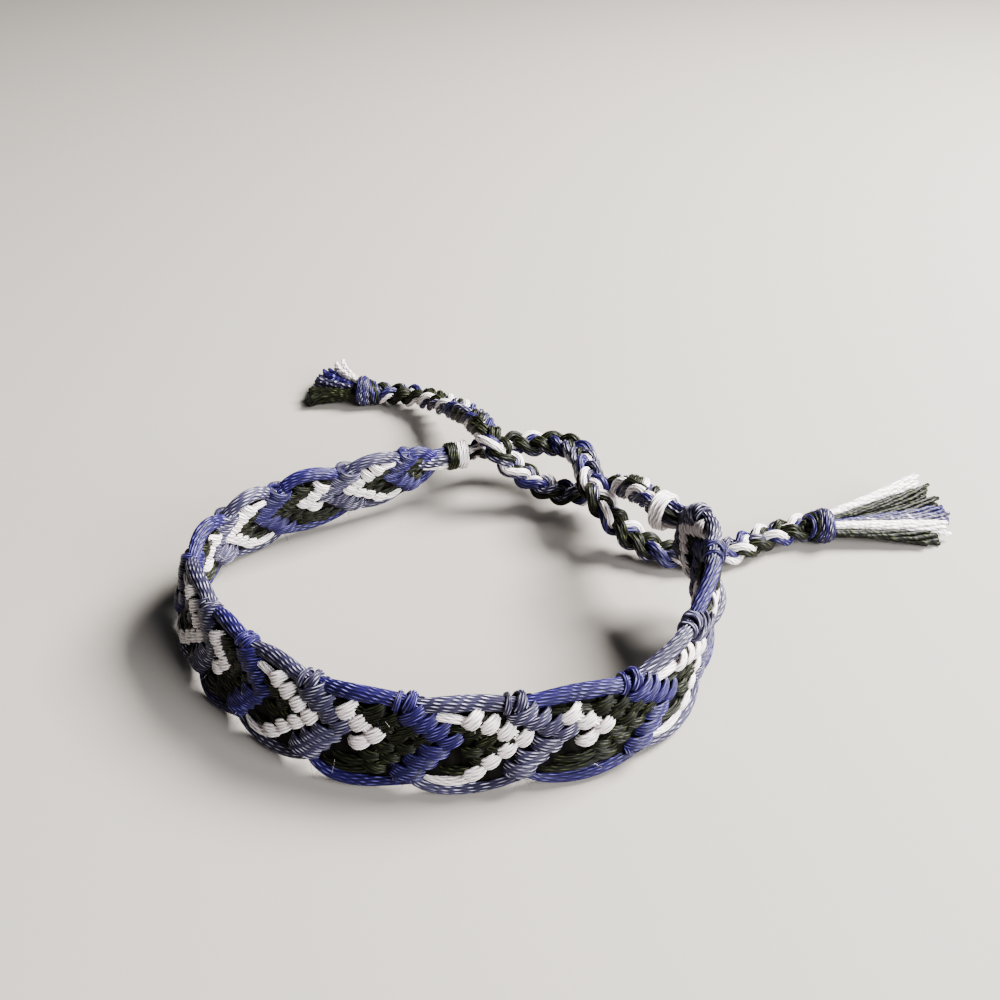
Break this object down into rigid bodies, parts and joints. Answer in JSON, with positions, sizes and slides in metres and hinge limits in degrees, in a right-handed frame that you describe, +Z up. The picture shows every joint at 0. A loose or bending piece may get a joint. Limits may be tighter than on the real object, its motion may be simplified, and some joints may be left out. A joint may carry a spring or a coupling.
{
  "type": "friendship bracelet",
  "caption": "Knotted cotton bracelet: a scalloped chevron band standing as a ring, closed by two braided ties with stopper knots and cut tassels.",
  "frame": {"origin": "centre of the bounding box's base, on the surface that the bracelet stands on", "axes": "+X along the longest side, from the left of the band to the tassel of the left tie; +Y from the front of the ring to the ties at the back; +Z up"},
  "size_m": [0.1016, 0.0868, 0.0163],
  "materials": {
    "chevron_knots": "knotted six-strand cotton floss in four colours",
    "army_green_floss": "six-strand mercerised cotton floss, dark army green",
    "white_floss": "six-strand mercerised cotton floss, warm white",
    "periwinkle_floss": "six-strand mercerised cotton floss, periwinkle blue",
    "lavender_floss": "six-strand mercerised cotton floss, variegated lavender grey",
    "mixed_floss_ends": "cut ends of cotton floss in four colours"
  },
  "bodies": {
    "root": {"knotted_band": "chevron_knots", "left_green_binding": "army_green_floss", "left_white_binding": "white_floss", "right_white_binding": "white_floss", "left_tie_strand_1": "periwinkle_floss", "left_tie_strand_2": "army_green_floss", "left_tie_strand_3": "lavender_floss", "left_tie_knot": "periwinkle_floss", "left_tie_tassel": "mixed_floss_ends", "right_tie_strand_1": "periwinkle_floss", "right_tie_strand_2": "army_green_floss", "right_tie_strand_3": "lavender_floss", "right_tie_knot": "periwinkle_floss", "right_tie_tassel": "mixed_floss_ends"}
  },
  "joints": []
}
